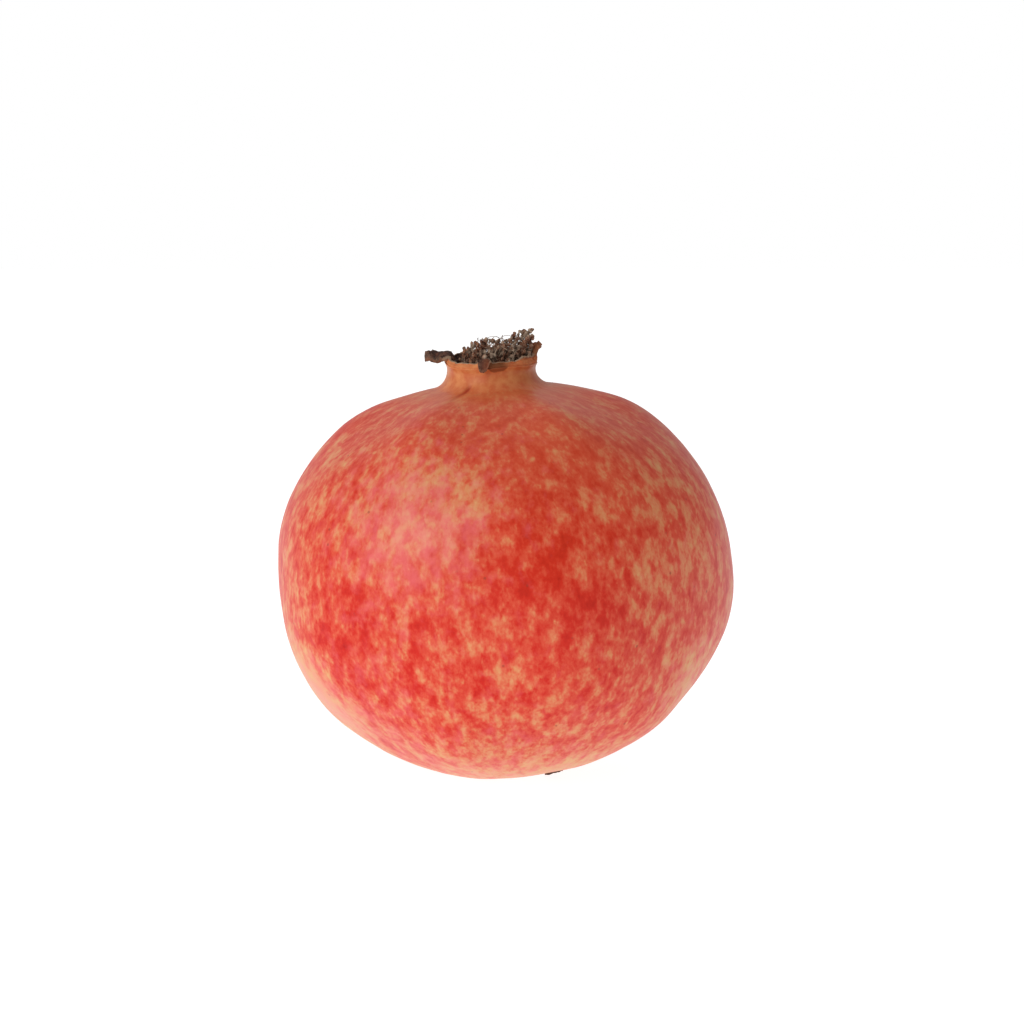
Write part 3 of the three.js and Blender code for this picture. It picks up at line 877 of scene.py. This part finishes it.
def stub_material():
    """Snapped twig wood, dry and grey-brown, with dark fibres along its length."""
    material = new_material("twig_wood")
    tree = material.node_tree
    place = add(tree, "TexCoord").outputs["Object"]
    fibres = add(tree, "TexNoise", Vector=place, Scale=1 / (0.4 * MM), Detail=4, Roughness=0.65)
    fibre = add(tree, "MapRange", SMOOTH, Value=fibres, From_Min=0.35, From_Max=0.65)
    colour = add(tree, "Mix", COLOURS, Factor=fibre, A=linear("#2B1B14"), B=linear("#6A4C36"))
    bump = add(tree, "Bump", Height=fibres, Strength=0.8, Distance=0.2 * MM)
    shader = add(
        tree, "BsdfPrincipled", Base_Color=colour, Roughness=0.85, Normal=bump,
        Specular_IOR_Level=0.3,
    )
    add(tree, "OutputMaterial", Surface=shader)
    return material


finish_piece(stub_mesh(), "twig_end", stub_material(), "stalk_stub")


# Studio
# A table of opal glass lit from below and a white tent round it, as for a catalogue picture. The
# tent and a softbox are brightest on the left, so the fruit's upper right is in half shade.

FLOOR_SIZE = 6.0
TABLE_GLOW = 0.93
TENT_LEFT = 0.75
TENT_RIGHT = 0.47
TENT_FRONT = 0.42
TENT_BACK = 1.15
KEY_POWER = 7.9
KEY_SIZE = 0.9
KEY_PLACE = (-0.80, -0.84, 0.54)
BACKDROP = "#FFFFFF"

floor_mesh = bmesh.new()
bmesh.ops.create_grid(floor_mesh, x_segments=1, y_segments=1, size=FLOOR_SIZE / 2)
floor_data = bpy.data.meshes.new("white_table")
floor_mesh.to_mesh(floor_data)
floor_mesh.free()
table = bpy.data.objects.new("white_table", floor_data)
bpy.context.scene.collection.objects.link(table)

table_material = new_material("opal_glass_table")
tree = table_material.node_tree
surface = add(
    tree, "BsdfPrincipled", Base_Color=linear("#909090"), Roughness=0.7,
    Emission_Color=linear("#FFFFFF"), Emission_Strength=TABLE_GLOW,
)
add(tree, "OutputMaterial", Surface=surface)
floor_data.materials.append(table_material)

tent = bpy.data.worlds.new("white_tent")
tent.use_nodes = True
tree = tent.node_tree
tree.nodes.clear()
toward = add(tree, "SeparateXYZ", Vector=add(tree, "TexCoord").outputs["Generated"]).outputs
side = add(tree, "MapRange", Value=toward[0], From_Min=-1, To_Min=TENT_LEFT, To_Max=TENT_RIGHT)
depth = add(tree, "MapRange", Value=toward[1], From_Min=-1, To_Min=TENT_FRONT, To_Max=TENT_BACK)
glow = add(tree, "Math", PRODUCT, n0=side, n1=depth)
lit = add(tree, "Background", Color=linear("#FFFFFF"), Strength=glow)
seen = add(tree, "Background", Color=linear(BACKDROP), Strength=1.0)
ray = add(tree, "LightPath")
both = add(tree, "MixShader", n0=ray.outputs["Is Camera Ray"], n1=lit, n2=seen)
add(tree, "OutputWorld", Surface=both)
bpy.context.scene.world = tent


def add_softbox(name, place, target, size, power):
    light = bpy.data.lights.new(name, "AREA")
    light.size = size
    light.energy = power
    lamp = bpy.data.objects.new(name, light)
    lamp.location = place
    lamp.rotation_euler = (Vector(target) - Vector(place)).to_track_quat("-Z", "Y").to_euler()
    bpy.context.scene.collection.objects.link(lamp)


belly = seat * MM
add_softbox("key_softbox", KEY_PLACE, belly, KEY_SIZE, KEY_POWER)


# Camera
# It looks a little down on the fruit from half a metre off. The fruit's middle is a little left
# of the picture's middle and below it.

IMAGE_WIDTH = 1024
SENSOR = 36.0
CAMERA_DISTANCE = 0.520
CAMERA_RISE = math.radians(9)
PIXELS_PER_MM = 4.79
BELLY_PIXEL = (502.3, 575.4)

camera_data = bpy.data.cameras.new("camera")
camera_data.sensor_width = SENSOR
camera_data.lens = SENSOR * PIXELS_PER_MM / MM * CAMERA_DISTANCE / IMAGE_WIDTH
camera = bpy.data.objects.new("camera", camera_data)
away = Vector((0, -math.cos(CAMERA_RISE), math.sin(CAMERA_RISE)))
up = Vector((0, math.sin(CAMERA_RISE), math.cos(CAMERA_RISE)))
right = Vector((1, 0, 0))
aim = belly + (
    right * (IMAGE_WIDTH / 2 - BELLY_PIXEL[0]) + up * (BELLY_PIXEL[1] - IMAGE_WIDTH / 2)
) / PIXELS_PER_MM * MM
camera.location = belly + away * CAMERA_DISTANCE
camera.rotation_euler = (aim - camera.location).to_track_quat("-Z", "Y").to_euler()
bpy.context.scene.collection.objects.link(camera)
bpy.context.scene.camera = camera
bpy.context.scene.view_settings.view_transform = "Standard"
